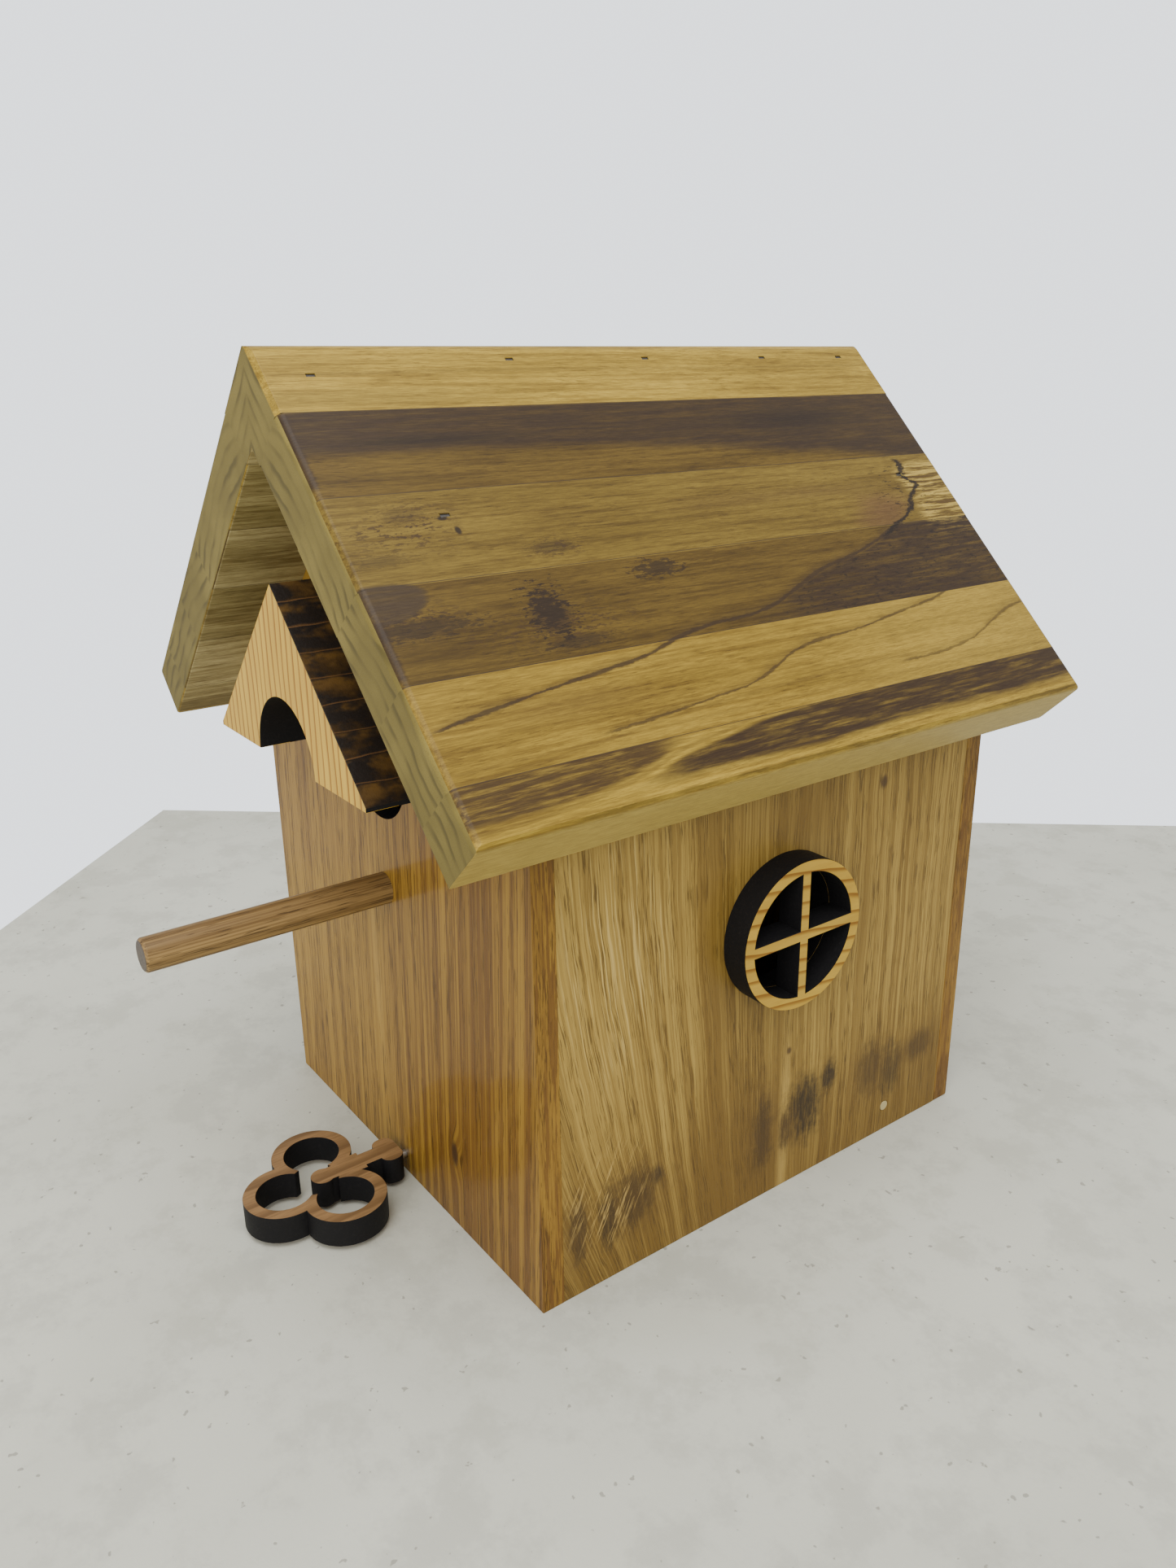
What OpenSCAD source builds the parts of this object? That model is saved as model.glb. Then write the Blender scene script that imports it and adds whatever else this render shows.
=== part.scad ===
// Garden birdhouse: four oak boards under a glued-strip gable roof, a pine canopy over the
// entry hole, a dowel perch, a round four-light window, and a clean-out floor that swings
// down on two side pins once the trefoil key is drawn from the front wall.
// X runs to the right, Y to the back and Z up. The origin is under the middle of the whole
// object, on the surface that the walls stand on.

/* [Walls] */
// Width of the front and back boards
wall_w = 180; // [150:1:220]
// Depth of the house from front face to back face
wall_d = 196; // [165:1:235]
// Height of the side boards at their outer face
side_h = 168; // [150:1:205]
// Thickness of all four wall boards
wall_t = 8; // [6:0.5:12]

/* [Roof] */
// Slope of both roof panels
pitch = 45; // [35:1:50]
// Thickness of the roof strips
roof_t = 21; // [12:1:26]
// How far the roof passes the front board
gable_front = 31; // [20:1:45]
// How far the roof passes the back board
gable_back = 19; // [10:1:45]
// How far the outer eave edge passes the side boards, level
eave_out = 25.5; // [20:0.5:35]
// Width of a full roof strip
strip_w = 29.6; // [24:0.2:31]
// Roundover radius along the ridge
ridge_r = 6; // [3:0.5:8]
// Chamfer on the outer edges of the roof ends and eaves
edge_cut = 1.6; // [0.4:0.2:3]

/* [Brads] */
// Thickness of a brad's square shank and of its flat head
brad_t = 1.2; // [0.9:0.1:1.8]
// Length of a brad's head, which lies along the grain
brad_head_w = 2.9; // [2:0.1:4]
// Length of a brad
brad_len = 30; // [26:1:40]
// How far a brad's head is sunk below the wood
brad_sink = 0.4; // [0.1:0.1:1]
// Distance of the ridge brads from the ridge, along the slope
ridge_brad_in = 9; // [8.5:0.5:12]
// The same for the brad nearest the front, which sits lower
front_brad_in = 14.5; // [12:0.5:18]
// Distance of the gable brads from the ridge, along the slope
gable_brad_in = 66; // [60:1:75]

/* [Entry and canopy] */
// Diameter of the entry hole
entry_d = 38; // [28:1:45]
// Height of the entry hole's centre
entry_z = 158; // [142:1:170]
// Thickness of one canopy layer
canopy_t = 10; // [6:0.5:10]
// Half the width of the canopy at its base
canopy_half = 54.5; // [42:0.5:60]
// Height of the blunt outer ends of the canopy
canopy_tip = 1.5; // [0.5:0.5:3]
// How far the canopy's arch stands back from the entry hole's edge
arch_reveal = 2; // [0:0.5:4]
// Height of the canopy's base over the entry hole's centre
canopy_up = 5.5; // [2:0.5:8]

/* [Perch] */
// Diameter of the perch dowel
perch_d = 11; // [8:0.5:16]
// Length of the perch in front of the front board
perch_len = 81; // [66:1:98]
// Height of the perch's axis
perch_z = 113.5; // [95:0.5:125]

/* [Window] */
// Outer diameter of the window ring
window_d = 52; // [40:1:62]
// Width of the window ring
window_ring = 4.1; // [3:0.1:6]
// Width of the window's cross bars
window_bar = 3.8; // [2.5:0.1:6]
// Thickness of the window frame
window_t = 10; // [5:0.5:14]
// Height of the window's centre
window_z = 105; // [85:1:125]

/* [Clean-out floor] */
// Thickness of the floor board
floor_t = 12; // [10:0.5:14]
// Height of the floor board's underside
floor_low = 2; // [0.5:0.5:4]
// Height of the floor's hinge pins
hinge_z = 10.5; // [8.5:0.5:11]
// Gap between the floor board and the walls
floor_gap = 1; // [0.5:0.1:2]
// Distance from the back face to the floor's hinge line
pivot_in = 38.5; // [28:0.5:60]
// Diameter of the hinge pins
pin_d = 4; // [3:0.1:5]
// How deep each hinge pin is driven into the floor
pin_bite = 16; // [8:1:30]

/* [Key] */
// Thickness of the key
key_t = 10; // [6:0.5:12]
// Height of the key's middle plane and of its pin
key_z = 7; // [6.5:0.5:9]
// Outer radius of each of the key's three lobes
lobe_r = 14; // [12:0.5:15]
// Width of the wood around each lobe's opening
lobe_ring = 4.3; // [3:0.1:5]
// Sideways distance from the key's axis to a side lobe's centre
lobe_side = 14.2; // [13:0.2:16]
// Distance from the front board to the side lobes' centres
lobe_near = 30; // [28:0.5:34]
// Distance from the front board to the front lobe's centre
lobe_far = 46; // [43:0.5:50]
// Width of the key's neck
neck_w = 7; // [5:0.5:9]
// Gap between the front board and the key's bulb
key_gap = 3; // [2:0.5:6]
// Diameter of the key's steel pin
key_pin_d = 3; // [2:0.1:4]

/* [Clearances] */
// Running fit around a pin that turns or slides, on the radius
run_fit = 0.06; // [0.02:0.01:0.1]
// Gap left between the drawn end of the key pin and the floor
pin_short = 0.5; // [0.3:0.1:0.8]

/* [Hidden] */
$fn = 64;
SIDES = [1, -1];
STRIPS = [1, 2, 3, 4, 5, 6];

// Depths along Y: the perch reaches furthest forward, the roof furthest back.
key_reach = lobe_far + lobe_r;
reach_front = max(perch_len, gable_front, key_reach);
y_front = (reach_front - wall_d - gable_back) / 2;
y_back = y_front + wall_d;
y_mid = (y_front + y_back) / 2;
y_inner_front = y_front + wall_t;
y_inner_back = y_back - wall_t;
y_roof_front = y_front - gable_front;
y_roof_back = y_back + gable_back;
roof_len = y_roof_back - y_roof_front;

// Widths along X.
x_wall = wall_w / 2;
x_inner = x_wall - wall_t;
x_eave = x_wall + eave_out;

// Roof heights: both faces of a panel meet their twins on the plane x = 0.
z_under = side_h + x_wall * tan(pitch);
z_apex = z_under + roof_t / cos(pitch);
slope_len = x_eave / cos(pitch);

// Four full strips lie between a ridge strip and an eave strip that were trimmed to fit.
full_strips = len(STRIPS) - 2;
trim_left = slope_len - full_strips * strip_w;
ridge_share = 0.62;
ridge_strip_w = trim_left * ridge_share;

// Distance down the slope at which strip i begins.
function strip_start(i) = i == 1 ? 0 : ridge_strip_w + (i - 2) * strip_w;
function strip_end(i) = i == len(STRIPS) ? slope_len : strip_start(i + 1);

// Ridge brads: evenly spaced between the ends, the inner ones set back a little.
ridge_brads_n = 5;
brad_margin = 15;
brad_drift = 14;
brad_pitch = (roof_len - 2 * brad_margin) / (ridge_brads_n - 1);
function ridge_brad_y(i) =
  y_roof_front + brad_margin + i * brad_pitch
  + (i == 0 || i == ridge_brads_n - 1 ? 0 : brad_drift);
gable_brad_ys = [y_front + wall_t / 2, y_back - wall_t / 2];
brad_head_t = 0.8;

// Canopy.
arch_r = entry_d / 2 + arch_reveal;
canopy_z = entry_z + canopy_up;

// Floor board: its back corners clear the back board by the gap as they swing past it.
swing_r = pivot_in - wall_t - floor_gap;
floor_back_len = sqrt(pow(swing_r, 2) - pow(hinge_z - floor_low, 2));
y_pivot = y_back - pivot_in;
y_floor_front = y_inner_front + floor_gap;
floor_len = y_pivot + floor_back_len - y_floor_front;
x_floor = x_inner - floor_gap;
keyhole_depth = 16;
keyhole_play = 0.2;

// Key.
key_open_r = lobe_r - lobe_ring;
key_mid = lobe_near + 5;
key_mid_r = 8.3;
stem_end_r = 4.2;
stem_end_at = lobe_near + 2;
shoulder_w = neck_w + 3;
shoulder_at = lobe_near - 13;
bulb_w = 2 * neck_w;
bulb_len = 8;
bulb_round = 3.5;
key_pin_bite = 9;
perch_soft = 0.8;

WALNUT_STREAK = [0.40, 0.31, 0.20];
POPLAR = [0.66, 0.57, 0.33];
OAK = [0.66, 0.50, 0.31];
PINE = [0.82, 0.66, 0.42];
CHAR = [0.10, 0.08, 0.07];
BRASS = [0.80, 0.72, 0.50];
STEEL = [0.62, 0.62, 0.62];

// ---------- helpers ----------

// Stands an outline drawn in X and Z up, with its front face at y and its back at y + t.
module upright(y, t) {
  translate([0, y + t, 0])
    rotate([90, 0, 0])
      linear_extrude(t)
        children();
}

// Frame of one roof slope: +X down the slope, +Z out of its outer face, origin on the ridge.
module on_slope(side, y = 0) {
  mirror([side == 1 ? 0 : 1, 0, 0])
    translate([0, y, z_apex])
      rotate([0, pitch, 0])
        children();
}

// One round bar along Y from y0 to y1.
module bar_y(x, z, y0, y1, d) {
  translate([x, y1, z])
    rotate([90, 0, 0])
      cylinder(d = d, h = y1 - y0);
}

// One round bar along X from x0 to x1.
module bar_x(y, z, x0, x1, d) {
  translate([x0, y, z])
    rotate([0, 90, 0])
      cylinder(d = d, h = x1 - x0);
}

// ---------- walls ----------

module gable_outline() {
  polygon([
    [-x_wall, 0],
    [x_wall, 0],
    [x_wall, side_h],
    [0, z_under],
    [-x_wall, side_h]
  ]);
}

module front_wall() {
  color(OAK)
    difference() {
      upright(y_front, wall_t)
        difference() {
          gable_outline();
          translate([0, entry_z]) circle(d = entry_d);
          translate([0, perch_z]) circle(d = perch_d);
          translate([0, key_z]) circle(d = key_pin_d + 2 * run_fit);
        }
      gable_brad_set();
    }
}

module back_wall() {
  color(OAK)
    difference() {
      upright(y_inner_back, wall_t) gable_outline();
      gable_brad_set();
    }
}

// A side board: its top edge is planed to the roof's slope.
module side_board() {
  upright(y_inner_front, wall_d - 2 * wall_t)
    polygon([
      [x_inner, 0],
      [x_wall, 0],
      [x_wall, side_h],
      [x_inner, side_h + wall_t * tan(pitch)]
    ]);
}

module pivot_bore() {
  bar_x(y_pivot, hinge_z, x_inner - 1, x_wall + 1, pin_d + 2 * run_fit);
}

module left_wall() {
  color(OAK)
    mirror([1, 0, 0])
      difference() {
        side_board();
        pivot_bore();
      }
}

module right_wall() {
  color(OAK)
    difference() {
      side_board();
      pivot_bore();
      bar_x(y_mid, window_z, x_inner - 1, x_wall + 1, window_d - 2 * window_ring);
    }
}

// ---------- roof ----------

// Section of the right panel in X and Z, mitred at the ridge and square at the eave.
module panel_section() {
  difference() {
    polygon([
      [0, z_apex],
      [x_eave, z_apex - x_eave * tan(pitch)],
      [x_eave - roof_t * sin(pitch), z_apex - x_eave * tan(pitch) - roof_t * cos(pitch)],
      [0, z_under]
    ]);
    ridge_roundover();
  }
}

// What the roundover takes from the sharp ridge: a kite with the ridge's circle left in it.
module ridge_roundover() {
  drop = ridge_r / cos(pitch);
  side_x = ridge_r * sin(pitch);
  side_z = z_apex - drop + ridge_r * cos(pitch);
  difference() {
    polygon([
      [-1, z_apex + 1],
      [side_x, z_apex + 1],
      [side_x, side_z],
      [0, z_apex - drop],
      [-1, z_apex - drop]
    ]);
    translate([0, z_apex - drop]) circle(r = ridge_r);
  }
}

// The band of the panel that strip i takes up.
module strip_section(i) {
  intersection() {
    panel_section();
    translate([0, z_apex])
      rotate(-pitch)
        translate([strip_start(i), -2 * roof_t])
          square([strip_end(i) - strip_start(i), 3 * roof_t]);
  }
}

// A square bar on its edge that takes a chamfer from an edge running along its length.
module chamfer_bar(len) {
  rotate([0, 45, 0])
    cube([edge_cut * sqrt(2), len, edge_cut * sqrt(2)], center = true);
}

module roof_edge_cuts() {
  for (y = [y_roof_front, y_roof_back])
    on_slope(1, y)
      translate([slope_len / 2, 0, 0])
        rotate([0, 0, 90])
          chamfer_bar(2 * slope_len);
  on_slope(1, (y_roof_front + y_roof_back) / 2)
    translate([slope_len, 0, 0])
      chamfer_bar(roof_len + 2);
}

module roof_strip(side, i) {
  color(i == 2 || i == 6 ? WALNUT_STREAK : POPLAR)
    difference() {
      mirror([side == 1 ? 0 : 1, 0, 0])
        difference() {
          upright(y_roof_front, roof_len) strip_section(i);
          roof_edge_cuts();
        }
      ridge_brad_set(open = true);
      gable_brad_set(open = true);
    }
}

// ---------- brads ----------

// A block of a brad's thickness, centred on its line, from depth d0 to depth d1.
module brad_block(w, d0, d1) {
  translate([-brad_t / 2, -w / 2, -d1])
    cube([brad_t, w, d1 - d0]);
}

// A brad driven square to a slope; open adds the slot that its head left above it.
module brad(side, in, y, open = false) {
  on_slope(side, y)
    translate([in, 0, 0]) {
      brad_block(brad_t, brad_sink, brad_len);
      brad_block(brad_head_w, open ? -1 : brad_sink, brad_sink + brad_head_t);
    }
}

module ridge_brad_set(open = false) {
  for (i = [0 : ridge_brads_n - 1])
    brad(1, i == 0 ? front_brad_in : ridge_brad_in, ridge_brad_y(i), open);
}

module gable_brad_set(open = false) {
  for (side = SIDES)
    for (y = gable_brad_ys)
      brad(side, gable_brad_in, y, open);
}

module ridge_brads() {
  color(STEEL) ridge_brad_set();
}

module gable_brads() {
  color(STEEL) gable_brad_set();
}

// ---------- canopy, perch and window ----------

// One of the three glued layers; n counts them from the front board outwards.
module canopy_layer(n) {
  color(PINE)
    upright(y_front - n * canopy_t, canopy_t)
      difference() {
        translate([0, canopy_z])
          polygon([
            [-canopy_half, 0],
            [canopy_half, 0],
            [canopy_half, canopy_tip],
            [0, canopy_tip + canopy_half * tan(pitch)],
            [-canopy_half, canopy_tip]
          ]);
        translate([0, canopy_z]) circle(r = arch_r);
      }
}

module canopy_back() {
  canopy_layer(1);
}

module canopy_middle() {
  canopy_layer(2);
}

module canopy_front() {
  canopy_layer(3);
}

module perch() {
  color(OAK)
    translate([0, y_inner_front, perch_z])
      rotate([90, 0, 0]) {
        cylinder(d = perch_d, h = perch_len + wall_t - perch_soft);
        translate([0, 0, perch_len + wall_t - perch_soft])
          cylinder(d1 = perch_d, d2 = perch_d - 2 * perch_soft, h = perch_soft);
      }
}

// Four lights behind a round ring; the wall is bored through behind them.
module window_frame() {
  inner_d = window_d - 2 * window_ring;
  color(CHAR)
    translate([x_wall, y_mid, window_z])
      rotate([90, 0, 90])
        linear_extrude(window_t) {
          difference() {
            circle(d = window_d);
            circle(d = inner_d);
          }
          intersection() {
            circle(d = inner_d + window_ring);
            union() {
              square([window_d, window_bar], center = true);
              square([window_bar, window_d], center = true);
            }
          }
        }
}

// ---------- clean-out floor ----------

module floor_board() {
  color(OAK)
    difference() {
      translate([-x_floor, y_floor_front, floor_low])
        cube([2 * x_floor, floor_len, floor_t]);
      for (side = SIDES)
        floor_pin(side);
      bar_y(0, key_z, y_floor_front - 1, y_floor_front + keyhole_depth,
        key_pin_d + 2 * keyhole_play);
    }
}

// A hinge pin: flush with the wall's outer face, driven into the floor's edge.
module floor_pin(side) {
  mirror([side == 1 ? 0 : 1, 0, 0])
    bar_x(y_pivot, hinge_z, x_floor - pin_bite, x_wall, pin_d);
}

module floor_pin_right() {
  color(BRASS) floor_pin(1);
}

module floor_pin_left() {
  color(BRASS) floor_pin(-1);
}

// ---------- key ----------

// The key lies flat; its outline has +Y towards the front board and that board's face at 0.
module lobe_circles(r) {
  for (side = SIDES)
    translate([side * lobe_side, -lobe_near])
      circle(r = r);
  translate([0, -lobe_far])
    circle(r = r);
}

module key_outline() {
  difference() {
    union() {
      lobe_circles(lobe_r);
      translate([-shoulder_w / 2, -lobe_near])
        square([shoulder_w, lobe_near - shoulder_at]);
    }
    lobe_circles(key_open_r);
    translate([0, -key_mid]) circle(r = key_mid_r);
  }
  translate([0, -stem_end_at]) circle(r = stem_end_r);
  translate([-neck_w / 2, -stem_end_at])
    square([neck_w, stem_end_at - key_gap - bulb_len / 2]);
  key_bulb();
}

// The bulb is a bar across the neck with its four corners rounded.
module key_bulb() {
  x = bulb_w / 2 - bulb_round;
  y = bulb_len / 2 - bulb_round;
  translate([0, -key_gap - bulb_len / 2]) {
    for (sx = SIDES)
      for (sy = SIDES)
        translate([sx * x, sy * y])
          circle(r = bulb_round);
    square([bulb_w, 2 * y], center = true);
    square([2 * x, bulb_len], center = true);
  }
}

module key_pin_solid() {
  bar_y(0, key_z, y_front - key_gap - key_pin_bite, y_floor_front - pin_short, key_pin_d);
}

module key_handle() {
  color(PINE)
    difference() {
      translate([0, y_front, key_z - key_t / 2])
        linear_extrude(key_t)
          key_outline();
      key_pin_solid();
    }
}

module key_pin() {
  color(STEEL) key_pin_solid();
}

front_wall();
back_wall();
left_wall();
right_wall();
perch();
canopy_front();
canopy_middle();
canopy_back();
window_frame();
for (i = STRIPS) roof_strip(1, i);
for (i = STRIPS) roof_strip(-1, i);
ridge_brads();
gable_brads();
floor_board();
floor_pin_right();
floor_pin_left();
key_handle();
key_pin();
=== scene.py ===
import math

import bmesh
import bpy
from mathutils import Matrix, Vector


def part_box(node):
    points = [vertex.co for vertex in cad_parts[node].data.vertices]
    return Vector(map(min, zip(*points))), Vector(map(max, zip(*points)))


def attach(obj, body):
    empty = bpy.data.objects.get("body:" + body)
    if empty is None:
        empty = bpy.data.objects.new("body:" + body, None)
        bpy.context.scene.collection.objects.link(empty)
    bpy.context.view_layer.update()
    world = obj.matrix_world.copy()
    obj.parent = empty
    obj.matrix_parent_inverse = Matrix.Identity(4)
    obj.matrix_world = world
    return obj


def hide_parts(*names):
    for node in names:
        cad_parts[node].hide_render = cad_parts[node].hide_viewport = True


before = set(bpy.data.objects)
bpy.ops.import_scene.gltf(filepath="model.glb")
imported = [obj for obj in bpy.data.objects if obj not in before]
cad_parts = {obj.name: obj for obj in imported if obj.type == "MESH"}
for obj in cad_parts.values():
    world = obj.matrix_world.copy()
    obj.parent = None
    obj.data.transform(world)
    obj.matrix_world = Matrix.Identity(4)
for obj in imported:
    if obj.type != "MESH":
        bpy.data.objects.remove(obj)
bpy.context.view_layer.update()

# ---------- Camera ----------
# It stands off the right-hand front corner, level with the ridge, and looks down on the house.
# Its lens is wide, so the near roof corner looms.

MM = 0.001
EYE = (344.2 * MM, -230.2 * MM, 281.6 * MM)
YAW, PITCH, ROLL = math.radians(52.97), math.radians(19.43), math.radians(-0.34)

ahead = Vector((-math.sin(YAW) * math.cos(PITCH), math.cos(YAW) * math.cos(PITCH), -math.sin(PITCH)))
level = Vector((math.cos(YAW), math.sin(YAW), 0))
right = (level * math.cos(ROLL) + level.cross(ahead) * math.sin(ROLL)).normalized()
up = right.cross(ahead)
camera = bpy.data.objects.new("camera", bpy.data.cameras.new("camera"))
camera.data.sensor_width = 36
camera.data.sensor_fit = "AUTO"
camera.data.lens = 27.76
camera.data.shift_x = -0.0162
camera.data.clip_start = 0.01
camera.matrix_world = Matrix.Translation(EYE) @ Matrix((right, up, -ahead)).transposed().to_4x4()
bpy.context.scene.collection.objects.link(camera)
bpy.context.scene.camera = camera


# ---------- Front and back boards ----------
# Two oak gable boards with straight vertical grain, sawn and drilled, sanded and given a clear
# satin varnish. They overlap the ends of the side boards and are glued and bradded to the roof.


class Finish:
    """A material while it is put together: short calls that add shader nodes and link them."""

    def __init__(self, name, roughness=0.5, coat=0.0, coat_roughness=0.2, metallic=0.0, gloss=0.16):
        self.material = bpy.data.materials.new(name)
        self.material.use_nodes = True
        self.tree = self.material.node_tree
        self.shader = self.tree.nodes["Principled BSDF"]
        self.shader.inputs["Roughness"].default_value = roughness
        self.shader.inputs["Metallic"].default_value = metallic
        self.shader.inputs["Coat Weight"].default_value = coat
        self.shader.inputs["Coat Roughness"].default_value = coat_roughness
        self.shader.inputs["Specular IOR Level"].default_value = gloss
        self.object = self.tree.nodes.new("ShaderNodeTexCoord").outputs["Object"]
        self.mm = self.turned(self.object, scale=(1 / MM, 1 / MM, 1 / MM))

    def node(self, kind, *values, **settings):
        """Adds a shader node; values feed its inputs in order, None leaves one alone."""
        node = self.tree.nodes.new("ShaderNode" + kind)
        for key, value in settings.items():
            setattr(node, key, value)
        for socket, value in zip(node.inputs, values):
            if isinstance(value, bpy.types.NodeSocket):
                self.tree.links.new(value, socket)
            elif value is not None:
                socket.default_value = value
        return node

    def turned(self, vector, place=(0, 0, 0), turn=(0, 0, 0), scale=(1, 1, 1)):
        return self.node("Mapping", vector, place, turn, scale).outputs[0]

    def axes(self, vector):
        return self.node("SeparateXYZ", vector).outputs

    def joined(self, x, y, z):
        return self.node("CombineXYZ", x, y, z).outputs[0]

    def math(self, operation, a, b=None, c=None):
        return self.node("Math", a, b, c, operation=operation).outputs[0]

    def plus(self, value, amount):
        return self.math("ADD", value, amount)

    def minus(self, value, amount):
        return self.math("SUBTRACT", value, amount)

    def times(self, value, *factors):
        for factor in factors:
            value = self.math("MULTIPLY", value, factor)
        return value

    def pushed(self, value, push, amount):
        """value with amount times push added to it."""
        return self.math("MULTIPLY_ADD", push, amount, value)

    def highest(self, value, *others):
        for other in others:
            value = self.math("MAXIMUM", value, other)
        return value

    def ramp(self, value, low, high, start=0.0, end=1.0, smooth=True):
        """value carried from the span low to high onto start to end, and held beyond it."""
        kind = "SMOOTHSTEP" if smooth else "LINEAR"
        return self.node("MapRange", value, low, high, start, end, interpolation_type=kind).outputs[0]

    def between(self, value, low, high, soft=0.1):
        """1 where value lies between low and high, 0 outside, over an edge soft to each side."""
        rise = self.ramp(value, low - soft, low + soft)
        return self.times(rise, self.ramp(value, high - soft, high + soft, 1.0, 0.0))

    def noise(self, vector, scale, detail=3.0, rough=0.5):
        node = self.node("TexNoise", vector)
        node.inputs["Scale"].default_value = scale
        node.inputs["Detail"].default_value = detail
        node.inputs["Roughness"].default_value = rough
        return node.outputs[0]

    def along(self, vector, grain, across, length):
        """vector squeezed so that noise of scale 1 is across wide and length long on the grain."""
        scale = [1 / across] * 3
        scale["xyz".index(grain)] = 1 / length
        return self.turned(vector, scale=scale)

    def spot(self, vector, centre, radii, ragged=0.0, edge=0.5, noise=None):
        """1 inside an oval round centre, 0 outside; ragged breaks its outline with noise."""
        offset = self.node("VectorMath", vector, centre, operation="SUBTRACT").outputs[0]
        shape = [0 if radius is None else 1 / radius for radius in radii]
        oval = self.node("VectorMath", offset, shape, operation="MULTIPLY").outputs[0]
        far = self.node("VectorMath", oval, operation="LENGTH").outputs["Value"]
        if noise is not None:
            far = self.pushed(far, self.minus(noise, 0.5), ragged)
        return self.ramp(far, edge, 1.0, 1.0, 0.0)

    def mix(self, factor, a, b, blend="MIX"):
        node = self.node("Mix", data_type="RGBA", blend_type=blend)
        for socket, value in zip((node.inputs[0], node.inputs[6], node.inputs[7]), (factor, a, b)):
            if isinstance(value, bpy.types.NodeSocket):
                self.tree.links.new(value, socket)
            else:
                socket.default_value = value if isinstance(value, float) else (*value, 1)
        return node.outputs[2]

    def wash(self, color, mask, amount, tint):
        """color turned towards tint by amount where mask is 1."""
        return self.mix(self.times(mask, amount), color, tint)

    def dimmed(self, color, mask, tint):
        """color multiplied by tint where mask is 1."""
        return self.mix(mask, color, self.mix(1.0, color, tint, "MULTIPLY"))

    def threaded(self, color, amount, fibre, tint):
        """color with fine threads: multiplied by tint between them, by white on them."""
        return self.mix(amount, color, self.mix(fibre, tint, (1.0, 1.0, 1.0)), "MULTIPLY")

    def finish(self, color, height, depth):
        """Links the colour, and a bump whose height spans depth millimetres."""
        self.tree.links.new(color, self.shader.inputs["Base Color"])
        bump = self.node("Bump")
        bump.inputs["Strength"].default_value = 1.0
        bump.inputs["Distance"].default_value = depth * MM
        self.tree.links.new(height, bump.inputs["Height"])
        self.tree.links.new(bump.outputs[0], self.shader.inputs["Normal"])
        return self.material


def rings(f, vector, grain, pith, gap, wobble, wave=90.0):
    """Growth rings round a pith line that runs with the grain: 0 to 1 across each ring."""
    drift = f.minus(f.noise(f.along(vector, grain, wave / 3, wave), 1.0, 2.0), 0.5)
    offset = f.node("VectorMath", vector, pith, operation="SUBTRACT").outputs[0]
    flat = [1.0, 1.0, 1.0]
    flat["xyz".index(grain)] = 0.0
    offset = f.node("VectorMath", offset, flat, operation="MULTIPLY").outputs[0]
    radius = f.node("VectorMath", offset, operation="LENGTH").outputs["Value"]
    radius = f.pushed(radius, drift, wobble)
    uneven = f.pushed(radius, f.noise(f.along(vector, grain, 22, 400), 1.0, 1.0), gap * 2.5)
    return f.math("FRACT", f.math("DIVIDE", uneven, gap))


def oak(f, vector, grain, phase, light, dark, pore, ring=0.5, streaks=0.45, shade=None):
    """Oak colour and height: porous early wood at each ring's start, rays and long streaks."""
    early = f.times(f.ramp(phase, 0.0, 0.12), f.ramp(phase, 0.25, 0.95, 1.0, 0.0))
    streak = f.noise(f.along(vector, grain, 0.75, 150), 1.0, 5.0, 0.64)
    broad = f.noise(f.along(vector, grain, 6, 260), 1.0, 2.0)
    cloud = f.noise(f.along(vector, grain, 26, 120), 1.0, 2.0)
    tone = f.pushed(f.ramp(streak, 0.36, 0.68, 0.0, streaks), early, ring)
    tone = f.plus(tone, f.ramp(broad, 0.36, 0.64, -0.06, 0.22))
    tone = f.plus(tone, f.ramp(cloud, 0.3, 0.7, -0.10, 0.14))
    if shade is not None:
        tone = f.plus(tone, shade)
    color = f.mix(f.math("MINIMUM", f.math("MAXIMUM", tone, 0.0), 1.0), light, dark)
    dashes = f.noise(f.along(vector, grain, 0.40, 11.0), 1.0, 2.0, 0.45)
    share = f.math("MULTIPLY_ADD", early, -0.11, 0.64)
    pores = f.ramp(f.minus(dashes, share), 0.0, 0.07)
    color = f.wash(color, pores, 0.72, pore)
    fibre = f.noise(f.along(vector, grain, 0.22, 14.0), 1.0, 2.0, 0.6)
    color = f.threaded(color, 0.35, fibre, (0.45, 0.45, 0.45))
    return color, f.pushed(f.times(fibre, 0.25), pores, -0.8)


GABLE_LIGHT = (0.385, 0.215, 0.030)
GABLE_DARK = (0.150, 0.068, 0.013)
GABLE_PORE = (0.070, 0.030, 0.005)
GABLE_GLOW = (0.50, 0.30, 0.06)
GABLE_KNOT = (0.06, 0.030, 0.012)


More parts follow.
